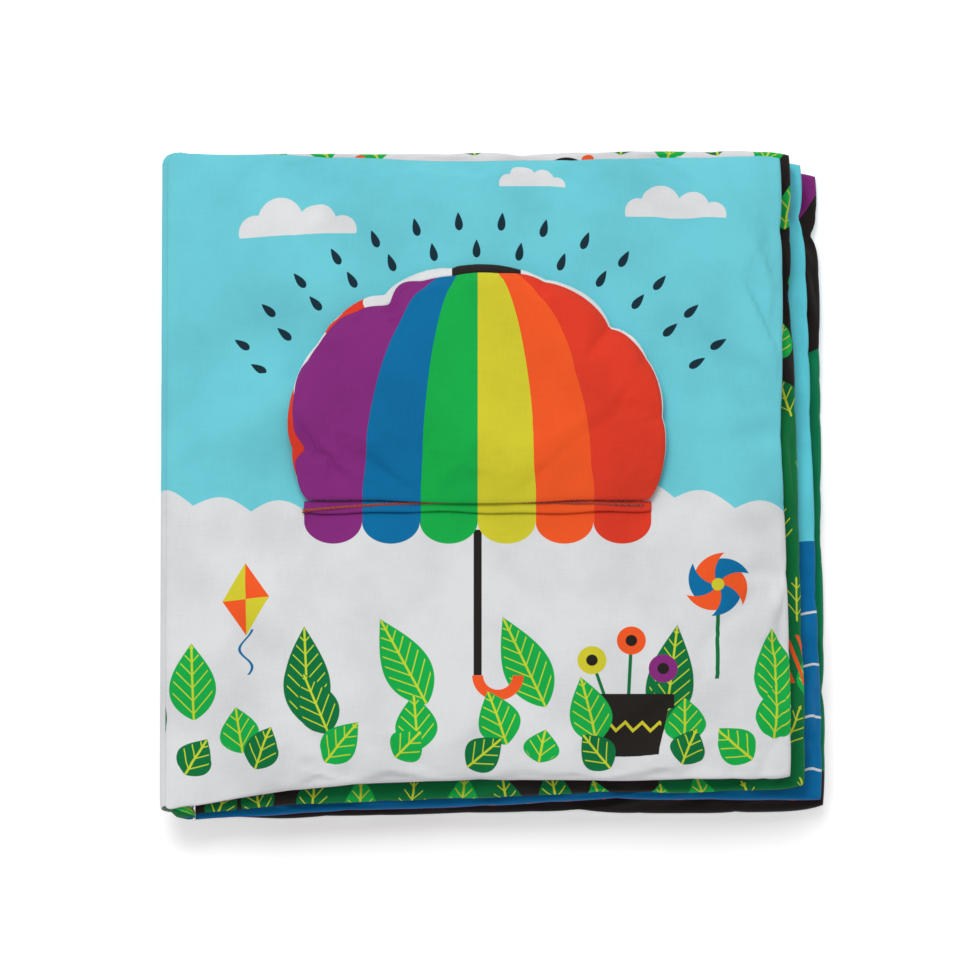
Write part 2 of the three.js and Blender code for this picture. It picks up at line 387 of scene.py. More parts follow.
class Leaf:
    """The shape of one padded leaf, in millimetres from the spine's axis.

    It stops short of the book's width at the head and tail ends of its fore edge, and short of
    the spine's ends along its head and tail and at its root. Its tail lifts towards the fore
    edge, and its corner there is rounded by a share of the others. Its fore edge, head and tail
    draw in midway, and its seam draws in at puckers, each a place, a depth and a width."""

    def __init__(self, name, order, fore_head, fore_tail, head, tail, root, draws, puckers,
                 lift=0, tail_corner=1):
        self.name = name
        self.order = order
        self.fore_shorts = (fore_tail, fore_head)
        self.head_edge = spine_length / 2 - head
        self.tail_edge = tail - spine_length / 2
        self.root_head = spine_length / 2 - root[0]
        self.root_tail = root[1] - spine_length / 2
        self.fore_draw, self.head_draw, self.tail_draw = draws
        self.lift = lift
        self.tail_corner = tail_corner
        self.puckers = {side: list(found) for side, found in puckers.items()}
        chance = random.Random(order + 11)
        for side, end in (("fore", spine_length / 2), ("head", book_width), ("tail", book_width)):
            place = chance.uniform(*first_puckers) - (end if side == "fore" else 0)
            while place < end - last_pucker:
                self.puckers.setdefault(side, []).append(
                    (place, chance.uniform(*pucker_depths), chance.uniform(*pucker_widths)))
                place += chance.uniform(*pucker_spacing)

    def sew(self):
        """Sews the leaf's two panels together and lets its filling swell them."""
        def upper(across, rise):
            reach, y, _, high = self.spot(crowded(across), crowded(rise))
            return spine_axis + Vector((reach, y, high))

        def lower(across, rise):
            reach, y, low, _ = self.spot(crowded(across), crowded(rise))
            return spine_axis + Vector((reach, y, low))

        self.moves = pillow_moves((upper, lower), leaf_columns // 2, leaf_rows // 2,
                                  growth=leaf_growth, swell=leaf_swell, sink=leaf_sink)

    def panel(self, is_front, across, rise):
        """A point of the front or the back panel, at even shares over the leaf."""
        reach, y, low, high = self.spot(crowded(across), crowded(rise))
        side = 0 if is_front else 1
        move = self.moves[side][round(across * leaf_columns)][round(rise * leaf_rows)]
        move = move * eased((reach - spine_reach) / ramp_run)
        free = 1 - math.exp(-((y - pressed_line) / pressed_run) ** 2)
        middle = (low + high) / 2
        if is_front:
            z = max(high + move.z * free, middle + rim_half)
        else:
            z = min(low + move.z, middle - rim_half)
        floor = max(self.level(0, reach) + clearance / 2, -spine_axis.z)
        z = held(z, floor, self.level(1, reach) - clearance / 2)
        return spine_axis + Vector((reach + move.x, y + move.y, z))

    def pull(self, side, place):
        return sum(depth * math.exp(-abs(place - at) / width)
                   for at, depth, width in self.puckers[side] if abs(place - at) < 5 * width)

    def level(self, step, reach):
        climb = eased((reach - spine_reach) / ramp_run)
        flat = (self.order + step - 2) * leaf_pitch
        return mix(spine_heights[self.order + step], flat, climb)

    def spot(self, across, rise):
        """The reach, the place along the spine, and the lower and upper heights at a point."""
        side = 2 * rise - 1
        fore_pull = self.pull("fore", side * spine_length / 2)
        fore = (book_width - spine_radius - mix(*self.fore_shorts, rise) - fore_pull
                - self.fore_draw * (1 - side ** 2) - corner_draw * side ** corner_power)
        reach = mix(spine_reach, fore, across)
        along = reach / fore
        middle_share = 4 * along * (1 - along)
        corner = corner_draw * along ** corner_power + tip_draw * along ** tip_power
        flare = (1 - held((reach - spine_reach) / flare_run)) ** flare_power
        head_pull, tail_pull = self.pull("head", reach), self.pull("tail", reach)
        head = mix(self.head_edge, self.root_head, flare) - corner - self.head_draw * middle_share
        tail = mix(self.tail_edge, self.root_tail, flare) + corner * self.tail_corner
        tail += self.tail_draw * middle_share
        head -= head_pull * (1 - flare)
        tail += tail_pull * (1 - flare) + self.lift * eased((reach - lift_start) / lift_run)
        y = mix(tail, head, rise)

        full = meeting(crown(fore - reach, crown_run), crown(min(head - y, y - tail), crown_run))
        valley = (fore_pull * math.exp((reach - fore) / pucker_fade)
                  + head_pull * math.exp((y - head) / pucker_fade)
                  + tail_pull * math.exp((tail - y) / pucker_fade))
        swell = noise.noise(Vector((reach / swell_width, y / swell_width, 7.3 * self.order)))
        free = 1 - math.exp(-((y - pressed_line) / pressed_run) ** 2)
        unpuckered = 1 - held(pucker_depth * valley, 0, 0.75)
        full *= unpuckered * (1 - swell_depth * held(0.5 + swell) * free)
        low = self.level(0, reach) + clearance / 2
        high = self.level(1, reach) - clearance / 2
        half = mix(rim_half, (high - low) / 2, held(full))
        wave = noise.noise(Vector((reach / wave_width, y / wave_width, 40 + 9.1 * self.order)))
        loose = (1 - full) * eased((reach - spine_reach) / ramp_run)
        middle = (low + high) / 2 + (wave_depth * wave - droop) * loose
        middle = held(middle, low + half, high - half)
        return reach, y, middle - half, middle + half


def cloth_piece(name, columns, rows, place, face_down=False, thickness=cloth_thickness):
    """A sheet of cloth laid out by a rule that gets two shares and gives a place in millimetres.
    Its UV map holds true lengths along the cloth in metres, so that a print is never stretched."""
    bm = bmesh.new()
    bmesh.ops.create_grid(bm, x_segments=columns, y_segments=rows, size=0.5)
    grid = {}
    for vert in bm.verts:
        column, row = round((vert.co.x + 0.5) * columns), round((vert.co.y + 0.5) * rows)
        grid[column, row] = vert
        vert.co = Vector(place(column / columns, row / rows)) * MM
    mid_column, mid_row = columns // 2, rows // 2
    lengths = {}
    for row in range(rows + 1):
        for direction, last in ((-1, 0), (1, columns)):
            run = grid[mid_column, row].co.x
            lengths[mid_column, row, "u"] = run
            for column in range(mid_column, last, direction):
                step = grid[column + direction, row].co - grid[column, row].co
                run += direction * step.length
                lengths[column + direction, row, "u"] = run
    for column in range(columns + 1):
        for direction, last in ((-1, 0), (1, rows)):
            run = grid[column, mid_row].co.y
            lengths[column, mid_row, "v"] = run
            for row in range(mid_row, last, direction):
                step = grid[column, row + direction].co - grid[column, row].co
                run += direction * step.length
                lengths[column, row + direction, "v"] = run
    cloth_map = bm.loops.layers.uv.new("cloth")
    keys = {vert: key for key, vert in grid.items()}
    for face in bm.faces:
        face.smooth = True
        for loop in face.loops:
            key = keys[loop.vert]
            loop[cloth_map].uv = lengths[*key, "u"], lengths[*key, "v"]
    if face_down:
        bmesh.ops.reverse_faces(bm, faces=bm.faces)
    mesh = bpy.data.meshes.new(name)
    bm.to_mesh(mesh)
    bm.free()
    piece = bpy.data.objects.new(name, mesh)
    bpy.context.scene.collection.objects.link(piece)
    wall = piece.modifiers.new("wall", "SOLIDIFY")
    wall.thickness = thickness * MM
    wall.offset = -1
    return piece


def settle(piece, body, slot, material, *nodes):
    """Gives a piece its finish and its body, and hides the CAD nodes it stands for. Its slot is not
    used.
    """
    piece.data.materials.append(material)
    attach(piece, body)
    if nodes:
        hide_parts(*nodes)
    return piece


def dye(red, green, blue):
    """A colour from 8-bit sRGB numbers, as the linear colour that a shader takes."""
    def linear(level):
        share = level / 255
        return share / 12.92 if share <= 0.04045 else ((share + 0.055) / 1.055) ** 2.4
    return linear(red), linear(green), linear(blue), 1


print_sharpness = 5
yarn_pitch = 0.34
slub_width, slub_length = 0.4, 7
weave_relief = 0.07


def inside(depth):
    """The mask of a printed shape from how deep inside its outline a point is, in millimetres."""
    return depth.math("MULTIPLY_ADD", print_sharpness, 0.5, clamp=True)


def cotton(name, design, sheen=0.06):
    """Printed cotton. A design gets the place on the cloth in millimetres and gives a colour, and
    the plain weave, thicker yarns both ways and soft creases show over it in relief. The yarns
    darken the colour a little, and a painted shade of the soft creases darkens it in broad patches."""
    material = bpy.data.materials.new(name)
    material.use_nodes = True
    tree = material.node_tree
    shader = tree.nodes["Principled BSDF"]
    spot = Wire(tree).node("ShaderNodeUVMap", {"uv_map": "cloth"}, {})
    x = spot.node("ShaderNodeSeparateXYZ", {}, {0: spot}, "X") * (1 / MM)
    y = spot.node("ShaderNodeSeparateXYZ", {}, {0: spot}, "Y") * (1 / MM)
    colour = design(x, y)
    warp = x.streaks(y, slub_width, slub_length)
    weft = y.streaks(x, slub_width, slub_length)
    cloud = spot.node("ShaderNodeTexNoise", {}, {"Vector": spot, "Scale": 30, "Detail": 3})
    yarns = (warp + weft) * 0.5
    # The thicker yarns' own tone, and a painted shade of soft creases in broad blotches from the
    # cloud noise that also raises the crease relief, darken the print towards a cool grey.
    yarn_tone_and_crease_shade = (yarns * 0.3 + cloud * 0.9 - 0.5).math("MAXIMUM", 0)
    colour = yarn_tone_and_crease_shade.shaded(colour, (0.45, 0.48, 0.52, 1))
    tree.links.new(colour.socket, shader.inputs["Base Color"])
    over = (x * (math.pi / yarn_pitch)).math("SINE") * (y * (math.pi / yarn_pitch)).math("SINE")
    height = over * 0.5 + yarns * 1.6 + cloud * 10
    bump = spot.node("ShaderNodeBump", {}, {
        "Strength": 0.5, "Distance": weave_relief * MM, "Height": height})
    tree.links.new(bump.socket, shader.inputs["Normal"])
    tree.links.new((yarns * 0.2 + 0.7).socket, shader.inputs["Roughness"])
    shader.inputs["Specular IOR Level"].default_value = 0.12
    shader.inputs["Sheen Weight"].default_value = sheen
    shader.inputs["Sheen Roughness"].default_value = 0.5
    return material


black = dye(31, 27, 24)
white = dye(221, 222, 223)
sky = dye(108, 203, 215)
lime = dye(210, 202, 47)
orange = dye(241, 88, 34)
red_orange = dye(222, 58, 36)
leaf_green = dye(16, 172, 72)
deep_green = dye(4, 112, 58)
blue = dye(0, 108, 160)
purple = dye(132, 40, 122)
vein_yellow = dye(200, 214, 50)
ink = dye(16, 44, 56)

flap_middle = (hinge_low.x + hinge_high.x) / 2
hinge_place = hinge_high.y
canopy_half = 60
canopy_height = 87
pole_length = 62
hook_radius = 7
gore_stops = [(0, purple), (1 / 6, blue), (2 / 6, leaf_green), (3 / 6, lime), (4 / 6, orange),
              (5 / 6, red_orange)]


def leaf_motif(paint, across, up, chance, length, width, tilt, shades):
    """One pointed leaf with a midrib and slanting veins, turned by up to a tilt in radians."""
    parts = {part: chance.node("ShaderNodeSeparateColor", {}, {0: chance}, part)
             for part in ("Red", "Green", "Blue")}
    lifted = up - parts["Red"] * (length * 0.25)
    turn = (parts["Blue"] - 0.5) * (2 * tilt)
    cosine, sine = turn.math("COSINE"), turn.math("SINE")
    rise = lifted * cosine - across * sine
    side = abs(across * cosine + lifted * sine)
    reach = parts["Green"] * (length * 0.4) + length * 0.6
    share = (rise / reach).math("ABSOLUTE", clamp=True)
    belly = ((share ** 0.75) * math.pi).math("SINE") * width
    grows = rise.math("GREATER_THAN", 0)
    blade = inside(belly - side - 0.2) * grows
    shade = parts["Red"].math("GREATER_THAN", 0.5)
    paint = blade.between(paint, shade.between(*shades))
    vein_pitch = 4.6
    rib = abs(((rise - side * 1.1) / vein_pitch).math("FRACT") - 0.5) * vein_pitch
    vein = inside(0.3 - rib).math("MAXIMUM", inside(0.38 - side))
    vein = vein * inside(belly * 0.86 - side - 0.3) * grows
    return vein.between(paint, vein_yellow)


def leaf_row(paint, x, y, pitch, shift, foot, length, width, tilt, shades, seed):
    """A row of leaves of one kind, each with its own height, tilt and shade of green."""
    cell = ((x + shift) / pitch).math("FLOOR")
    across = (x + shift) - (cell + 0.5) * pitch
    chance = cell.node("ShaderNodeTexWhiteNoise", {"noise_dimensions": "1D"},
                       {"W": cell + seed}, "Color")
    return leaf_motif(paint, across, y - foot, chance, length, width, tilt, shades)


def disc(x, y, middle_x, middle_y, radius):
    """How deep inside a disc a point is, in millimetres."""
    across, up = x - middle_x, y - middle_y
    return radius - (across * across + up * up).math("SQRT")


def sky_and_cloud(x, y):
    """A plain sky over a bank of white cloud with a scalloped edge."""
    bank = abs((x * (math.pi / 21)).math("SINE")) * 4.5 + (x / 27 + 0.6).math("SINE") * 5 - 12
    return inside(bank - y).between(sky, white)


def clouds(paint, x, y):
    """Small clouds, each a row of puffs on a straight foot."""
    for middle, foot, size in ((-68, 84, 1), (64, 90, 0.85), (14, 101, 0.55)):
        base = (15.5 * size - abs(x - middle)).math("MINIMUM", foot + 5 * size - y)
        puffs = disc(x, y, middle - 15 * size, foot + 2 * size, 6 * size).math("MAXIMUM", base)
        for shift, lift, radius in ((-6, 6, 8), (7, 4, 7), (16, 1.5, 5)):
            puff = disc(x, y, middle + shift * size, foot + lift * size, radius * size)
            puffs = puffs.math("MAXIMUM", puff)
        paint = inside(puffs.math("MINIMUM", y - foot)).between(paint, white)
    return paint


drop_half_length = 3.4
drop_half_width = 1.5


def rain(paint, across, up):
    """Two arcs of drops over the umbrella, in degrees round it, a drop for each step."""
    ring = (across * across + up * up).math("SQRT")
    turn = up.math("ARCTAN2", across) * (180 / math.pi)
    for radius, spacing, shift in ((91, 9.5, 0), (101, 8.5, 4)):
        beat = (((turn + shift) / spacing).math("FRACT") - 0.5) * math.radians(spacing) * radius
        lift = (ring - radius) / drop_half_length
        round_off = (1 - (lift * lift).math("MINIMUM", 1)).math("SQRT")
        drop = round_off * (drop_half_width - lift * (drop_half_width / 2))
        falls = inside(drop - abs(beat) - 0.25) * inside(up - radius * 0.52)
        paint = falls.between(paint, ink)
    return paint


scallop_depth = 8
valance_depth = 7
pole_half = 1.4
hook_half = 1.9


def umbrella(paint, across, up):
    """The scalloped hem of an umbrella below the flap, and its pole and hooked handle."""
    share = across * (0.5 / canopy_half) + 0.5
    gore = (share * 6).math("FRACT") * 2 - 1
    scallop = (1 - gore * gore).math("SQRT") * scallop_depth + valance_depth
    valance = (scallop + up).math("MINIMUM", canopy_half - abs(across)).math("MINIMUM", -1.5 - up)
    gores = share.node("ShaderNodeValToRGB", {"stops": gore_stops}, {0: share})
    pole = (pole_half - abs(across)).math("MINIMUM", up + pole_length).math("MINIMUM", -10 - up)
    hook_x, hook_y = across - hook_radius, up + pole_length
    hook = hook_half - abs((hook_x * hook_x + hook_y * hook_y).math("SQRT") - hook_radius)
    hook = hook.math("MINIMUM", 0 - hook_y)
    paint = inside(pole).between(paint, black)
    paint = inside(hook).between(paint, orange)
    return inside(valance).between(paint, gores)


kite_place = (-86, -46)
kite_half = 11
kite_tail = 16


def kite(paint, x, y):
    """A kite in four quarters, with a waving tail."""
    kite_x, kite_y = x - kite_place[0], y - kite_place[1]
    diamond = kite_half - abs(kite_x) * 1.25 - abs(kite_y) * 0.85
    quarter = (kite_x * kite_y).math("GREATER_THAN", 0)
    tail_sway = 2.4 * (kite_y * 0.45).math("SINE") - kite_x * 1.0
    tail = (0.5 - abs(tail_sway)).math("MINIMUM", 0 - kite_y - kite_half)
    tail = tail.math("MINIMUM", kite_y + (kite_half + kite_tail))
    paint = inside(tail).between(paint, blue)
    return inside(diamond).between(paint, quarter.between(lime, orange))


pinwheel_place = (78, -42)
pinwheel_radius = 11.5
pinwheel_hub = 2.2
pinwheel_stick = 34


def pinwheel(paint, x, y):
    """A pinwheel of six curved sails on a stick."""
    wheel_x, wheel_y = x - pinwheel_place[0], y - pinwheel_place[1]
    wheel = (wheel_x * wheel_x + wheel_y * wheel_y).math("SQRT")
    spin = wheel_y.math("ARCTAN2", wheel_x) * (6 / (2 * math.pi)) + wheel * 0.06
    sail = inside(pinwheel_radius - wheel * (1.0 + 0.25 * spin.math("FRACT")))
    stick = (0.7 - abs(wheel_x)).math("MINIMUM", 0 - wheel_y)
    stick = stick.math("MINIMUM", wheel_y + pinwheel_stick)
    turnabout = (spin / 2).math("FRACT").math("GREATER_THAN", 0.5)
    paint = inside(stick).between(paint, deep_green)
    paint = sail.between(paint, turnabout.between(orange, blue))
    return inside(pinwheel_hub - wheel).between(paint, lime)


pot_middle = 46
pot_foot = -103
pot_half = 12.5
pot_rim_half = 17
pot_rim_foot = 17
pot_height = 22
bloom_radius = 5


def flower_pot(paint, x, y):
    """Three round flowers in a black pot with a zigzag band."""
    pot_x, pot_y = x - pot_middle, y - pot_foot
    for lean, height, petal in ((-0.34, 34, lime), (0.05, 41, orange), (0.42, 31, purple)):
        stalk = (0.6 - abs(pot_x - pot_y * lean)).math("MINIMUM", height - pot_y)
        paint = inside(stalk.math("MINIMUM", pot_y)).between(paint, deep_green)
        bloom = disc(pot_x, pot_y, height * lean, height, bloom_radius)
        paint = inside(bloom).between(paint, petal)
        paint = inside(bloom - 3).between(paint, black)
    body = (pot_half + pot_y * 0.14 - abs(pot_x)).math("MINIMUM", pot_y)
    body = body.math("MINIMUM", pot_rim_foot + 2 - pot_y)
    rim = (pot_rim_half - abs(pot_x)).math("MINIMUM", pot_y - pot_rim_foot)
    rim = rim.math("MINIMUM", pot_height - pot_y)
    zigzag = 0.7 - abs(pot_y - 9 - abs((pot_x / 6).math("PINGPONG", 1) - 0.5) * 6)
    paint = inside(body.math("MAXIMUM", rim)).between(paint, black)
    return inside(zigzag.math("MINIMUM", body - 1.5)).between(paint, lime)


def rainy_garden(x, y):
    """The cover's print: rain on an umbrella that stands in a garden under the cloud bank."""
    across, up = x - flap_middle, y - hinge_place
    paint = clouds(sky_and_cloud(x, y), x, y)
    paint = rain(paint, across, up)
    paint = leaf_row(paint, x, y, 41, 2, -94, 42, 8.5, 0.5, (deep_green, leaf_green), 3)
    paint = umbrella(paint, across, up)
    for motif in (kite, pinwheel, flower_pot):
        paint = motif(paint, x, y)
    paint = leaf_row(paint, x, y, 31, 10, -101, 28, 7.5, 0.7, (leaf_green, deep_green), 21)
    return leaf_row(paint, x, y, 25, 21, -108, 20, 6.5, 0.9, (deep_green, leaf_green), 44)


def dotted_purple(x, y):
    """Plain purple with small orange spots set in staggered rows."""
    row = (y / 11).math("FLOOR")
    spot_x = (((x / 13 + row * 0.5).math("FRACT")) - 0.5) * 13
    spot_y = ((y / 11).math("FRACT") - 0.5) * 11
    spot = inside(1.3 - (spot_x * spot_x + spot_y * spot_y).math("SQRT"))
    return spot.between(purple, orange)


cover_wrap = math.radians(130)


def front_of(leaf):
    return lambda across, rise: leaf.panel(True, across, rise)


def back_of(leaf):
    return lambda across, rise: leaf.panel(False, across, rise)


film_thickness = 0.1
film_depth = 1.05
crinkle_depth = 0.25
crinkle_width = 5
wadding_depth = 1.7
wadding_lift = 0.9


def inner_layers(leaf):
    """The film and the wadding between a leaf's panels, clear of its seams and of the fold."""
    first, last, side = 0.09, 0.972, 0.032

    def pad_edge(across, rise):
        return 1 - crown(min(across, 1 - across, rise, 1 - rise), 0.03)

    def inner_spot(across, rise):
        return leaf.spot(mix(first, last, across), mix(side, 1 - side, rise))

    def film_place(across, rise):
        reach, y, low, high = inner_spot(across, rise)
        place = Vector((reach / crinkle_width, y / crinkle_width, leaf.order * 3.1))
        crinkle = held(noise.noise(place, noise_basis="VORONOI_F1"))
        return spine_axis + Vector((reach, y, high - film_depth - crinkle_depth * crinkle))

    def wadding_top(across, rise):
        reach, y, low, high = inner_spot(across, rise)
        z = mix(high - wadding_depth, (low + high) / 2, pad_edge(across, rise))
        return spine_axis + Vector((reach, y, z))

    def wadding_bottom(across, rise):
        reach, y, low, high = inner_spot(across, rise)
        z = mix(low + wadding_lift, (low + high) / 2, pad_edge(across, rise))
        return spine_axis + Vector((reach, y, z))

    film = cloth_piece(
        f"{leaf.name}_crackling_film", 72, 80, film_place, thickness=film_thickness)
    settle(film, leaf.name, "crinkle_film", film_finish, f"{leaf.name}_crinkle_film")
    pad = padding(f"{leaf.name}_padding", 48, 56, wadding_top, wadding_bottom)
    settle(pad, leaf.name, "polyester_wadding", wadding_finish, f"{leaf.name}_wadding")


def padding(name, columns, rows, top, bottom):
    """A closed pad of wadding between an upper and a lower surface that meet at its rim."""
    bm = bmesh.new()
    for place, is_upper in ((top, True), (bottom, False)):
        made = bmesh.ops.create_grid(bm, x_segments=columns, y_segments=rows, size=0.5)["verts"]
        faces = {face for vert in made for face in vert.link_faces}
        for vert in made:
            vert.co = Vector(place(vert.co.x + 0.5, vert.co.y + 0.5)) * MM
        if not is_upper:
            bmesh.ops.reverse_faces(bm, faces=list(faces))
    bmesh.ops.remove_doubles(bm, verts=bm.verts, dist=0.01 * MM)
    for face in bm.faces:
        face.smooth = True
    mesh = bpy.data.meshes.new(name)
    bm.to_mesh(mesh)
    bm.free()
    piece = bpy.data.objects.new(name, mesh)
    bpy.context.scene.collection.objects.link(piece)
    return piece


def plain_finish(name, roughness):
    """A new finish that reads the place in the object, its shader and that place's wire."""
    material = bpy.data.materials.new(name)
    material.use_nodes = True
    tree = material.node_tree
    shader = tree.nodes["Principled BSDF"]
    shader.inputs["Roughness"].default_value = roughness
    spot = Wire(tree).node("ShaderNodeTexCoord", {}, {}, "Object")
    return material, shader, spot


wadding_finish, wadding_shader, wadding_spot = plain_finish("polyester_fibre", 1)
fluff = wadding_spot.node(
    "ShaderNodeTexNoise", {}, {"Vector": wadding_spot, "Scale": 500, "Detail": 6})
wadding_colour = fluff.between(dye(226, 225, 220), dye(250, 250, 247))
wadding_finish.node_tree.links.new(wadding_colour.socket, wadding_shader.inputs["Base Color"])
fluff_relief = 0.6
fluff_bump = fluff.node(
    "ShaderNodeBump", {}, {"Strength": 0.7, "Distance": fluff_relief * MM, "Height": fluff})
wadding_finish.node_tree.links.new(fluff_bump.socket, wadding_shader.inputs["Normal"])

film_finish, film_shader, film_spot = plain_finish("crackling_plastic", 0.22)
facets = film_spot.node(
    "ShaderNodeTexVoronoi", {}, {"Vector": film_spot, "Scale": 190}, "Distance")
film_colour = facets.between(dye(214, 222, 226), dye(236, 240, 242))
film_finish.node_tree.links.new(film_colour.socket, film_shader.inputs["Base Color"])
facet_relief = 0.5
facet_bump = facets.node(
    "ShaderNodeBump", {}, {"Strength": 0.8, "Distance": facet_relief * MM, "Height": facets})
film_finish.node_tree.links.new(facet_bump.socket, film_shader.inputs["Normal"])

front_cover = Leaf("front_cover", 3, fore_head=13.3, fore_tail=10.5, head=3.4, tail=6.2,
                   root=(2.3, 0.3), draws=(1.6, 3.4, 2), puckers={
                       "fore": [(92, 0.9, 8), (12, 1.3, 20)], "tail": [(192, 0.9, 14)]})
front_cover.sew()
wrap_columns = 22
corner_round = 3
corner_run = 3.5
wrap_end_rise = 0.35
wrap_drop = 3.2


def cover_front(across, rise):
    """The cover's outer cloth, which goes on round the far side of the spine."""
    column = round(across * (wrap_columns + leaf_columns))
    if column >= wrap_columns:
        return front_cover.panel(True, (column - wrap_columns) / leaf_columns, rise)
    outer = spine_reach + cover_rise
    arc = outer * (cover_wrap - math.pi / 2)
    run = column / wrap_columns * (arc + spine_reach)
    angle = cover_wrap - min(run, arc) / outer
    root = front_cover.panel(True, 0, rise)
    radius = mix(root.z - spine_axis.z, spine_radius + wrap_end_rise, eased(1 - run / arc))
    x, z = radius * math.cos(angle) + max(run - arc, 0), radius * math.sin(angle)
    y = root.y * (1 - corner_round / (spine_length / 2) * (1 - crown(run, corner_run)))
    if y < 0:
        y *= 1 + wrap_drop / (spine_length / 2) * held((spine_reach - x) / (2 * spine_reach)) ** 2
    return Vector((spine_axis.x + x, y, spine_axis.z + z))


cover_print = cotton("rainy_garden_cotton", rainy_garden)
purple_cotton = cotton("dotted_purple_cotton", dotted_purple)
cover_top = cloth_piece(
    "front_cover_front_cloth", wrap_columns + leaf_columns, leaf_rows, cover_front)
settle(cover_top, "front_cover", "sky_print_cloth", cover_print, "front_cover_front_panel")
cover_lining = cloth_piece(
    "front_cover_back_cloth", leaf_columns, leaf_rows, back_of(front_cover), face_down=True)
settle(cover_lining, "front_cover", "purple_cloth", purple_cotton, "front_cover_back_panel")
inner_layers(front_cover)


# First page
# The leaf under the cover, a little wider than it, so that a strip of its leafy print shows
# along the fore edge, the head and the tail. Its reverse is dark.
def jungle(x, y):
    """Leaves on black under a scalloped white sky, with a few orange strokes."""
    corner = (x - 72).math("MAXIMUM", 0)
    top = abs((x * (math.pi / 17)).math("SINE")) * 3 + (x / 19).math("SINE") * 9 + 103 + corner
    paint = inside(y - top).between(black, white)
    hill = (x / 23).math("SINE") * 8 + (x / 9).math("SINE") * 2 + 40
    paint = inside(hill - y).between(paint, deep_green)
    shade = (x / 19).math("SINE") + (x / 6.7).math("SINE") * 0.5 - 0.4
    paint = inside((shade * 6).math("MINIMUM", -99 - y)).between(paint, black)
    raised = y / 24 + 0.33
    row = raised.math("FLOOR")
    shifted = x / 17 + row * 0.37
    cell = shifted.math("FLOOR")
    across = (shifted - cell - 0.5) * 17
    up = raised.math("FRACT") * 24
    chance = cell.node("ShaderNodeTexWhiteNoise", {"noise_dimensions": "1D"},
                       {"W": cell + row * 7.7}, "Color")
    paint = leaf_motif(paint, across, up, chance, 22, 6, 0.35, (leaf_green, deep_green))
    stroke = abs((x + y * 0.4).math("PINGPONG", 4.5) - 2.2)
    band = inside(9 - abs(y + 66)) * inside(0.75 - stroke)
    paint = band.between(paint, orange)
    dot_x = (x + 46).math("PINGPONG", 40)
    dot = inside(2.2 - (dot_x * dot_x + (y - 114) * (y - 114)).math("SQRT"))
    return dot.between(paint, orange)


hill_green = dye(0, 128, 84)


def night(x, y):
    """A black night with a purple hill in one corner, a moon, stars and deep green hills."""
    star_row = (y / 23).math("FLOOR")
    star_x = ((x / 29 + star_row * 0.43).math("FRACT") - 0.5) * 29
    star_y = ((y / 23).math("FRACT") - 0.5) * 23
    sky_share = inside(86 - abs(x)) * inside(88 - y)
    star = inside(1.1 - (abs(star_x) ** 0.6 + abs(star_y) ** 0.6)) * sky_share
    paint = star.between(black, vein_yellow)
    moon = disc(x, y, 30, 62, 17).math("MINIMUM", 0 - disc(x, y, 37, 67, 15))
    paint = inside(moon).between(paint, white)
    purple_edge = (x / 13).math("SINE") * 4 + 98 + (x - 110).math("MAXIMUM", -8) * 1.4
    green_edge = (x / 19).math("SINE") * 9 + (x / 61).math("SINE") * 26 + 28
    ground = (x / 12).math("SINE") * 2 - 101
    paint = inside(y - purple_edge).between(paint, purple)
    return inside((green_edge - y).math("MINIMUM", y - ground)).between(paint, hill_green)


jungle_cotton = cotton("jungle_cotton", jungle)
night_cotton = cotton("night_cotton", night)
first_page = Leaf("first_page", 2, fore_head=9.9, fore_tail=5.6, head=-0.4, tail=2.9,
                  root=(2.3, -1.4), draws=(1.2, 2.2, 0.4), puckers={
                      "fore": [(95.5, 1.6, 6), (66, 2.2, 15), (-62, 0.6, 5)],
                      "tail": [(96, 0.6, 6)], "head": [(120, 0.8, 9)]}, lift=2.3)
first_page.sew()


def leaf_cloths(leaf, front, back):
    """A leaf's two panels, each from its slot and its printed cotton, and what lies between."""
    for side, (slot, material), place in (
            ("front", front, front_of(leaf)), ("back", back, back_of(leaf))):
        cloth = cloth_piece(
            f"{leaf.name}_{side}_cloth", leaf_columns, leaf_rows, place, face_down=side == "back")
        settle(cloth, leaf.name, slot, material, f"{leaf.name}_{side}_panel")
    inner_layers(leaf)


leaf_cloths(first_page, ("leaf_print_cloth", jungle_cotton), ("night_print_cloth", night_cotton))


# Second page
# The next leaf down, wider again. Its front is a sea under a plain sky, which shows as a
# cyan and blue strip on the right, and its reverse is the spotted purple.
sea_blue = dye(0, 108, 166)
shallow = dye(98, 212, 228)


def seascape(x, y):
    """A cyan sky over a blue sea with thin white waves."""
    shore = (x / 17).math("SINE") * 3 - 22
    paint = inside(shore - y).between(shallow, sea_blue)
    wave = abs(((y + (x / 5).math("SINE") * 1.6) / 19).math("FRACT") - 0.5) * 19
    waves = inside(0.45 - wave) * inside(shore - y - 9) * inside(y + 110)
    return waves.between(paint, white)


sea_cotton = cotton("seascape_cotton", seascape)
second_page = Leaf("second_page", 1, fore_head=5.9, fore_tail=-0.3, head=0.9, tail=1.9,
                   root=(2.3, -2.8), draws=(0.6, 0.8, 0.6), puckers={
                       "fore": [(98.8, 2.4, 6), (20, 0.5, 6), (-44, 0.8, 5)],
                       "tail": [(60, 0.6, 7)]}, lift=3, tail_corner=0.2)
second_page.sew()
leaf_cloths(second_page, ("sea_print_cloth", sea_cotton), ("purple_cloth", purple_cotton))


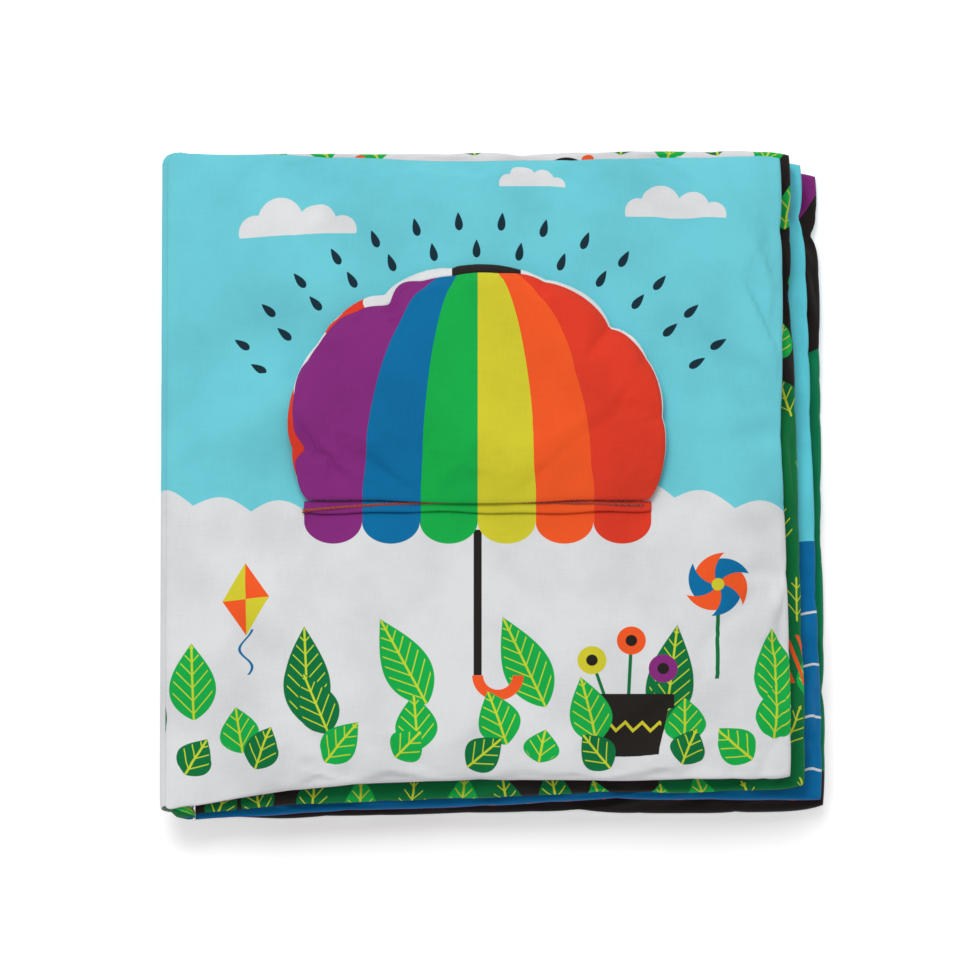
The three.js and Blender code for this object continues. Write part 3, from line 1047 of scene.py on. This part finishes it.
# Back cover
# The lowest and widest leaf, which the book lies on, so its outer cloth is flat below. It is
# cut from the cover's sky print, and its inner face is the night.
back_print = cotton("sky_and_cloud_cotton", sky_and_cloud)
back_cover = Leaf("back_cover", 0, fore_head=0.6, fore_tail=-1.2, head=2.3, tail=2.5,
                  root=(2.3, -1.4), draws=(0.6, 0.8, 0.3), puckers={
                      "fore": [(95.8, 3.2, 4.5), (52, 0.6, 6), (-20, 0.8, 6), (-76, 0.9, 5)],
                      "tail": [(140, 0.9, 8)]})
back_cover.sew()
leaf_cloths(back_cover, ("night_print_cloth", night_cotton), ("sky_print_cloth", back_print))


# Spine
# The cover's cloth goes round a roll made by the folded inner edges of the leaves. It is
# gathered shut at the head, the roll shows below it at the tail, and one line of stitching
# runs down through the roll.
gather_run = 4
gather_ends = (spine_radius - 0.5, 0.9)
pleats = 9
sleeve_ripple = 16
sleeve_tail = 0.8 - spine_length / 2
sleeve_head = spine_length / 2 - 1.2


def spine_sleeve(around, along):
    """The cloth round the spine, pleated where it is gathered at the head."""
    y = mix(sleeve_tail, sleeve_head, crowded(along))
    fullness = crown(min(sleeve_head - y, y - sleeve_tail), gather_run)
    angle = 2 * math.pi * around
    radius = mix(gather_ends[y > 0], spine_radius, fullness)
    pleat_depth = 0.12 * (1 - fullness) * (y > 0)
    radius *= 1 + pleat_depth * math.cos(pleats * angle) - 0.02 * noise.noise(
        Vector((2 * math.cos(angle), 2 * math.sin(angle), y / sleeve_ripple)))
    radius = min(radius, spine_radius)
    return spine_axis + Vector((radius * math.cos(angle), y, radius * math.sin(angle)))


roll_turns = 3
roll_start = 1.3
roll_end = spine_radius - cloth_thickness - 2 * clearance
roll_tail = -spine_length / 2 - 2.6
roll_head = spine_length / 2 - 2 * gather_run
roll_rounding = 3.5
roll_lean = 1.8


def rolled_fold(around, along):
    """The pages' folded edges, rolled up, which lean out towards the pages at the tail."""
    angle = 2 * math.pi * roll_turns * around
    y = mix(roll_tail, roll_head, crowded(along))
    radius = mix(roll_start, roll_end, around)
    lean = roll_lean * eased((sleeve_tail - y) / (sleeve_tail - roll_tail) * 4)
    rounded = mix(0.45, 1, crown(y - roll_tail, roll_rounding))
    radius *= (1 - 0.4 * lean / roll_end) * rounded
    lean += 0.85 * (1 - rounded) * roll_end
    return spine_axis + Vector((lean + radius * math.cos(angle), y, -radius * math.sin(angle)))


def folded_prints(x, y):
    """The sea of the page that is folded innermost, and the leaves of the page round it."""
    return inside(x + 101).between(seascape(x, y), jungle(x + 34, y))


folded_cotton = cotton("folded_pages_cotton", folded_prints)
sleeve = cloth_piece("spine_cloth", 72, 180, spine_sleeve, face_down=True)
settle(sleeve, "back_cover", "sky_print_cloth", back_print, "spine_cover")
roll = cloth_piece("spine_roll", 90, 80, rolled_fold)
settle(roll, "back_cover", "sea_print_cloth", folded_cotton, "spine_inner_fold")


def thread(name, strands, diameter):
    """Sewing thread, each strand of it along a list of points in millimetres."""
    curve = bpy.data.curves.new(name, "CURVE")
    curve.dimensions = "3D"
    curve.bevel_depth = diameter / 2 * MM
    curve.bevel_resolution = 1
    curve.use_fill_caps = True
    for points in strands:
        spline = curve.splines.new("POLY")
        spline.points.add(len(points) - 1)
        for spline_point, point in zip(spline.points, points):
            spline_point.co = (*(point * MM), 1)
    piece = bpy.data.objects.new(name, curve)
    bpy.context.scene.collection.objects.link(piece)
    return piece


twist_relief = 0.06


def thread_finish(name, dark, light):
    """Spun polyester thread: two tones of one colour twisted together."""
    material, shader, spot = plain_finish(name, 0.6)
    twist = spot.node("ShaderNodeTexWave", {"bands_direction": "DIAGONAL"},
                      {"Vector": spot, "Scale": 1400, "Distortion": 1.5}, "Fac")
    material.node_tree.links.new(
        twist.between(dark, light).socket, shader.inputs["Base Color"])
    bump = twist.node(
        "ShaderNodeBump", {}, {"Strength": 0.6, "Distance": twist_relief * MM, "Height": twist})
    material.node_tree.links.new(bump.socket, shader.inputs["Normal"])
    shader.inputs["Sheen Weight"].default_value = 0.2
    return material


stitch_length = 4
stitch_count = int(2 * roll_head / stitch_length)
stitch_sway = 0.35
binding_points = []
for step in range(stitch_count * 4 + 1):
    y = (step / 4 - stitch_count / 2) * stitch_length
    binding_points.append(
        spine_axis + Vector((0, y, stitch_sway * math.sin(math.pi / 2 * step))))
binding_diameter = 0.45
binding = thread("binding_stitches", [binding_points], binding_diameter)
settle(binding, "back_cover", "binding_thread",
       thread_finish("white_thread", dye(214, 214, 210), dye(242, 242, 238)), "spine_stitching")


# Flap
# A puffy half-round pad over the cover's print, cut in one piece and printed as the six gores
# of an umbrella. Its curved seam is gathered, so the pale back cloth rolls up into view.
flap_joint = next(joint for joint in frame["joints"] if joint["name"] == "flap_lift")
hinge_width = 117
flap_shoulder = 22
shoulder_power = 0.62
flap_height = 84
flap_thickness = 8
hinge_thickness = 1.1
hinge_lift = 1.65
hinge_round = 1.3
hinge_overhang = 1.3
overhang_half = 34
overhang_run = 4
flap_growth = 0.03
flap_swell = 3.2
flap_sink = 0.8
lump_width = 19
hinge_crown_run = 30
flap_run = 13
flap_under_run = 7
rim_share = 0.72
gathers = [(9, 0.2, 5), (21, 2, 6), (37, 0.6, 4), (51, 4.6, 5.5), (72.5, 1.8, 6), (96, 0.7, 5),
           (115, 3, 6), (138, 0.6, 5), (167, 1.8, 5), (174, 0.8, 4)]
seam_radius = 66
gather_fade = 11


def flap_outline(x, y):
    """The flap's seam, in millimetres, from a direction in its half disc."""
    return Vector((x * (hinge_width / 2 + flap_shoulder * y ** shoulder_power), y * flap_height))


def gathered(turn, distance):
    """How deep the seam is drawn in at an angle round the flap, fading away from the seam."""
    pull = sum(depth * math.exp(-abs(math.radians(turn - at)) * seam_radius / width)
               for at, depth, width in gathers)
    return pull * math.exp(-distance / gather_fade)


seam_rolls = [(0, 6), (30, 16), (46, 26), (58, 31), (75, 27), (86, 42), (104, 44), (110, 26),
              (116, 54), (123, 42), (130, 26), (143, 26), (148, 9), (155, 22), (162, 30), (167, 50),
              (172, 26), (180, 8)]


def seam_roll(turn):
    """How far the back cloth rolls up over the flap's edge, in degrees, at an angle round it."""
    for (before, start), (after, end) in zip(seam_rolls, seam_rolls[1:]):
        if turn <= after:
            return mix(start, end, eased((turn - before) / (after - before)))


def half_round(across, rise):
    """Lays a square over a half disc of radius 1, and gives a point's place in the disc."""
    a, b = 2 * crowded(across, 0.3) - 1, rise ** 1.35
    x, y = a * math.sqrt(1 - b * b / 2), b * math.sqrt(1 - a * a / 2)
    return x, y, math.hypot(x, y)


def flap_spot(across, rise, is_front):
    """A point of the flap's front or back cloth as it is cut and sewn, before it is filled."""
    x, y, radius = half_round(across, rise)
    if radius < 1e-9:
        x, y, radius = 1e-9, 0, 1e-9
    turn = math.degrees(math.atan2(y, x))
    edge = flap_outline(x / radius, y / radius)
    length = edge.length - 0.8 * gathered(turn, 0)
    seam = math.radians(seam_roll(turn)) * eased(y / radius * 4)
    flat_lean = math.pi / 2 if is_front else -math.pi / 2
    lean = mix(flat_lean, seam, held((radius - rim_share) / (1 - rim_share)))
    run = flap_run if lean > 0 else flap_under_run
    distance = run * (1 - math.cos(lean))
    if radius < rim_share:
        distance = mix(length, run, radius / rim_share)
    spot = edge.normalized() * (length - distance)

    from_hinge = math.sin(held(spot.y / hinge_crown_run) * math.pi / 2)
    low = clearance + hinge_lift * (1 - from_hinge)
    rounded = crown(spot.y + 0.02, hinge_round)
    thick = mix(hinge_thickness, flap_thickness, from_hinge) * rounded
    lump = noise.noise(Vector((spot.x / lump_width, spot.y / lump_width, 5.7)))
    thick *= 1 - 0.1 * (0.5 + lump) * from_hinge
    hinge_rise = hinge_thickness / 2 * (1 - rounded)
    height = low + hinge_rise + thick / 2 * (1 + math.sin(lean))
    height -= (held(0.6 * gathered(turn, distance), 0, 0.5 * thick)
               * held((lean + math.pi / 2) / (seam + math.pi / 2)))
    overhang = hinge_overhang * max(1 - (spot.x / overhang_half) ** 2, 0)
    overhang *= math.exp(-spot.y / overhang_run)
    return Vector((flap_middle + spot.x, hinge_place + spot.y - overhang, stack_height + height))


flap_fade = 0.12
hinge_fade = 12
flap_columns = 132
flap_rows = 92
flap_moves = pillow_moves(
    (lambda across, rise: flap_spot(across, rise, True),
     lambda across, rise: flap_spot(across, rise, False)),
    flap_columns // 2, flap_rows // 2, growth=flap_growth, swell=flap_swell, sink=flap_sink)


def flap_panel(is_front, across, rise):
    """A point of the flap's front or back cloth once its filling has swelled it."""
    side = 0 if is_front else 1
    move = flap_moves[side][round(across * flap_columns)][round(rise * flap_rows)]
    spot = flap_spot(across, rise, is_front)
    free = eased((1 - half_round(across, rise)[2]) / flap_fade)
    spot += move * (free * eased((spot.y - hinge_place) / hinge_fade))
    spot.z = held(spot.z, stack_height + clearance, cad_high.z / MM)
    return spot


def canopy(x, y):
    """Six gores that narrow to the top of the umbrella."""
    across = (x - flap_middle) / canopy_half
    up = (y - hinge_place).math("MAXIMUM", 0) / canopy_height
    waist = (1 - (up * up).math("MINIMUM", 0.97)).math("SQRT")
    share = across / waist * 0.5 + 0.5
    return share.node("ShaderNodeValToRGB", {"stops": gore_stops}, {0: share})


finial_middle = 3
finial_half = 12
finial_foot = 64
hinge_gores = 1.8


def pale_with_spots(x, y):
    """Pale cloth with large spots in the print's colours, a black patch that rolls up over the
    umbrella's top, and the gores again at the hinge."""
    beside = abs(x - flap_middle - finial_middle)
    paint = (inside(finial_half - beside) * inside(y - finial_foot)).between(white, black)
    for place, height, radius, colour in (
            (finial_middle, finial_foot, finial_half, black), (-67, 12, 18, red_orange),
            (-54, 60, 12, red_orange), (-21, 40, 9, lime), (-28, 8, 8, blue),
            (8, 24, 11, leaf_green), (36, 44, 11, blue), (34, 6, 7, orange), (61, 20, 8, purple)):
        spot = inside(disc(x, y, flap_middle + place, height, radius))
        paint = spot.between(paint, colour)
    return inside(hinge_place + hinge_gores - y).between(paint, canopy(x, y))


canopy_cotton = cotton("canopy_cotton", canopy)
pale_cotton = cotton("pale_cotton", pale_with_spots)
flap_top = cloth_piece("peekaboo_flap_front_cloth", flap_columns, flap_rows,
                       lambda across, rise: flap_panel(True, across, rise))
settle(flap_top, "peekaboo_flap", "canopy_print_cloth", canopy_cotton, "peekaboo_flap_front_panel")
flap_under = cloth_piece("peekaboo_flap_back_cloth", flap_columns, flap_rows,
                         lambda across, rise: flap_panel(False, across, rise), face_down=True)
settle(flap_under, "peekaboo_flap", "pale_cloth", pale_cotton, "peekaboo_flap_back_panel")


inner_first, inner_columns = 14, 52
inner_lowest, inner_rows = 14, 33
flap_film_depth = 1.15
flap_wadding_depth = 1.8
flap_wadding_lift = 0.9


def flap_inner(across, rise, drop, is_front):
    """A point inside the flap, a drop below its front cloth or above its back cloth."""
    column, row = inner_first + 2 * across * inner_columns, inner_lowest + 2 * rise * inner_rows
    spot = flap_panel(is_front, column / flap_columns, row / flap_rows)
    return spot + Vector((0, 0, -drop if is_front else drop))


def flap_pad(is_front):
    """The upper or the lower surface of the flap's wadding."""
    def place(across, rise):
        top = flap_inner(across, rise, flap_wadding_depth, True)
        bottom = flap_inner(across, rise, flap_wadding_lift, False)
        spot = top if is_front else bottom
        edge = 1 - crown(min(across, 1 - across, rise, 1 - rise), 0.05)
        return spot.lerp((top + bottom) / 2, edge)
    return place


flap_film = cloth_piece("peekaboo_flap_crackling_film", inner_columns, inner_rows,
                        lambda across, rise: flap_inner(across, rise, flap_film_depth, True),
                        thickness=film_thickness)
settle(flap_film, "peekaboo_flap", "crinkle_film", film_finish, "peekaboo_flap_crinkle_film")
flap_filling = padding(
    "peekaboo_flap_padding", inner_columns, inner_rows, flap_pad(True), flap_pad(False))
settle(flap_filling, "peekaboo_flap", "polyester_wadding", wadding_finish, "peekaboo_flap_wadding")


# Hem
# The flap's seam allowance, folded under and sewn flat to the cover just below the hinge, with
# a red-orange overlock thread along its upper edge and a narrow upright strip up to the hinge.
hem_half = (hinge_high.x - hinge_low.x) / 2
hem_width = hinge_high.y - hinge_low.y
hem_floor = hinge_low.z
hem_thickness = 0.3
hem_lift = 0.05
hem_gap = 0.1
hem_lip = 1
hem_puff = (0.45, 0.22)
hem_puff_width = 9
hem_tuck = 7


def hem_place(across, around):
    """The folded hem: under, round its lower lip and back over the top."""
    x = mix(-hem_half, hem_half, crowded(across, 0.5))
    sway = 0.6 * math.sin(x / 11) + 0.35 * math.sin(x / 4.3 + 1)
    puff = hem_puff[0] + hem_puff[1] * noise.noise(Vector((x / hem_puff_width, 2.2, 0)))
    tuck = crown(hem_half - abs(x), hem_tuck)
    angle = mix(-math.pi / 2, math.pi / 2, held((around - 0.4) / 0.2))
    fold = hem_lip - hem_width
    if around < 0.4:
        y, z = mix(0, fold, around / 0.4), 0
    elif around < 0.6:
        y, z = fold - math.cos(angle) * (hem_lip + sway * 0.6), puff * (1 + math.sin(angle))
    else:
        y, z = mix(fold, 0, (around - 0.6) / 0.4), 2 * puff
    return Vector((flap_middle + x, hinge_place - hem_gap + y * mix(0.8, 1, tuck),
                   hem_floor + hem_lift + z * mix(0.5, 1, tuck)))


hem = cloth_piece("flap_hem_cloth", 150, 20, hem_place, thickness=hem_thickness)
settle(hem, "front_cover", "canopy_print_cloth", canopy_cotton, "flap_hem")

overlock_twist = 2.3
overlock_radius = 0.28
overlock_diameter = 0.56
overlock_place = hinge_place - 0.45
overlock_height = hem_floor + 1.1
frayed_height = hem_floor + 0.85
overlock_ends = (-hem_half - 0.5, hem_half - 2.5)
overlock_fray = 3
overlock_bows = (3.1, 1.3)
steps_per_twist = 8
overlock_steps = int((overlock_ends[1] - overlock_ends[0]) / overlock_twist * steps_per_twist)


def overlock_strand(phase):
    """One of the two strands of the overlock, which bow down and fray out at the hem's ends."""
    points = []
    for step in range(overlock_steps + 1):
        x = overlock_ends[0] + step / steps_per_twist * overlock_twist
        fray = 1 - held(min(x - overlock_ends[0], overlock_ends[1] - x) / overlock_fray)
        bow = overlock_bows[0 if x < 0 else 1] * (x / hem_half) ** 2
        angle = 2 * math.pi * step / steps_per_twist + phase
        radius = overlock_radius * (1 + 1.1 * fray)
        points.append(Vector((
            flap_middle + x, overlock_place - bow + radius * math.cos(angle),
            mix(overlock_height, frayed_height, fray) + radius * math.sin(angle))))
    return points


overlock = thread(
    "flap_overlock_stitches", [overlock_strand(0), overlock_strand(math.pi)], overlock_diameter)
settle(overlock, "front_cover", "overlock_thread",
       thread_finish("red_orange_thread", dye(88, 30, 26), dye(206, 70, 38)),
       "flap_overlock_thread")

hinge_axis_z = flap_joint["pos_m"][2] / MM
strip_foot = hem_floor + 0.8
strip_half = hinge_width / 2 - 1
strip_gap = 0.1
strip_thickness = 0.4


def hinge_strip(across, rise):
    """A narrow upright strip from the hem to the flap's hinge edge."""
    x = mix(-strip_half, strip_half, across)
    return Vector((flap_middle + x, hinge_place + strip_gap, mix(strip_foot, hinge_axis_z, rise)))


strip = cloth_piece("flap_hinge_strip", 60, 8, hinge_strip, thickness=strip_thickness)
strip.data.materials.append(canopy_cotton)
hinge_axis_z * MM
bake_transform(strip)
